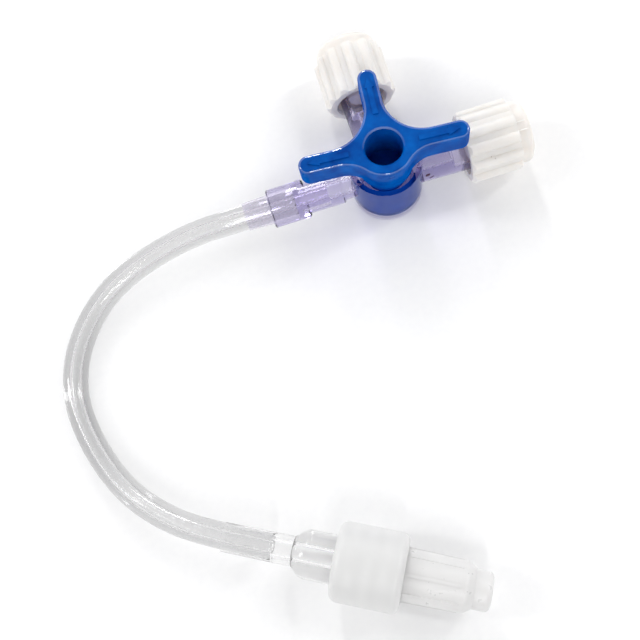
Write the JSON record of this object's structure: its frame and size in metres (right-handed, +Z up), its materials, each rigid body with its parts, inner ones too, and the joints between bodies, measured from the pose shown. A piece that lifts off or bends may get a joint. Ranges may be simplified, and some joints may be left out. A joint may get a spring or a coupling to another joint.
{
  "type": "three way stopcock",
  "caption": "Three-way stopcock with a turning T-shaped handle, capped luer ports at a right angle and a short clear extension tube ending in a male luer lock.",
  "frame": {"origin": "centre of the barrel's bottom face, where the stopcock stands", "axes": "+Z up along the barrel and the handle's axis, +X along the through line to its capped port, +Y along the side port, the tube leaves along -X"},
  "size_m": [0.0831, 0.0918, 0.0167],
  "materials": {
    "clear_violet_body": "clear moulded, faint violet tint",
    "blue_handle": "glossy moulded",
    "white_cap": "satin moulded",
    "clear_violet_adaptor": "clear moulded, faint violet tint",
    "clear_tube": "clear extruded",
    "clear_connector": "clear moulded",
    "milky_collar": "milky translucent",
    "milky_tip_cap": "milky translucent"
  },
  "bodies": {
    "valve": {"stopcock_body": "clear_violet_body", "tube_adaptor": "clear_violet_adaptor", "extension_tube": "clear_tube", "male_connector": "clear_connector"},
    "handle": {"handle_core": "blue_handle"},
    "line_cap": {"line_port_cap": "white_cap"},
    "side_cap": {"side_port_cap": "white_cap"},
    "collar": {"lock_collar": "milky_collar"},
    "tip_cover": {"tip_cap": "milky_tip_cap"}
  },
  "joints": [
    {"name": "handle_turn", "type": "hinge", "parent": "valve", "child": "handle", "pos_m": [0, 0, 0.00595], "axis": [0, 0, 1], "continuous": true},
    {"name": "line_cap_pull", "type": "slide", "parent": "valve", "child": "line_cap", "axis": [1, 0, 0], "range_m": [0, 0.01]},
    {"name": "side_cap_pull", "type": "slide", "parent": "valve", "child": "side_cap", "axis": [0, 1, 0], "range_m": [0, 0.01]},
    {"name": "collar_spin", "type": "hinge", "parent": "valve", "child": "collar", "pos_m": [-0.02053, -0.05763, 0.00587], "axis": [0.8838, -0.4679, 0], "continuous": true},
    {"name": "tip_cap_pull", "type": "slide", "parent": "valve", "child": "tip_cover", "axis": [0.8838, -0.4679, 0], "range_m": [0, 0.012]}
  ]
}
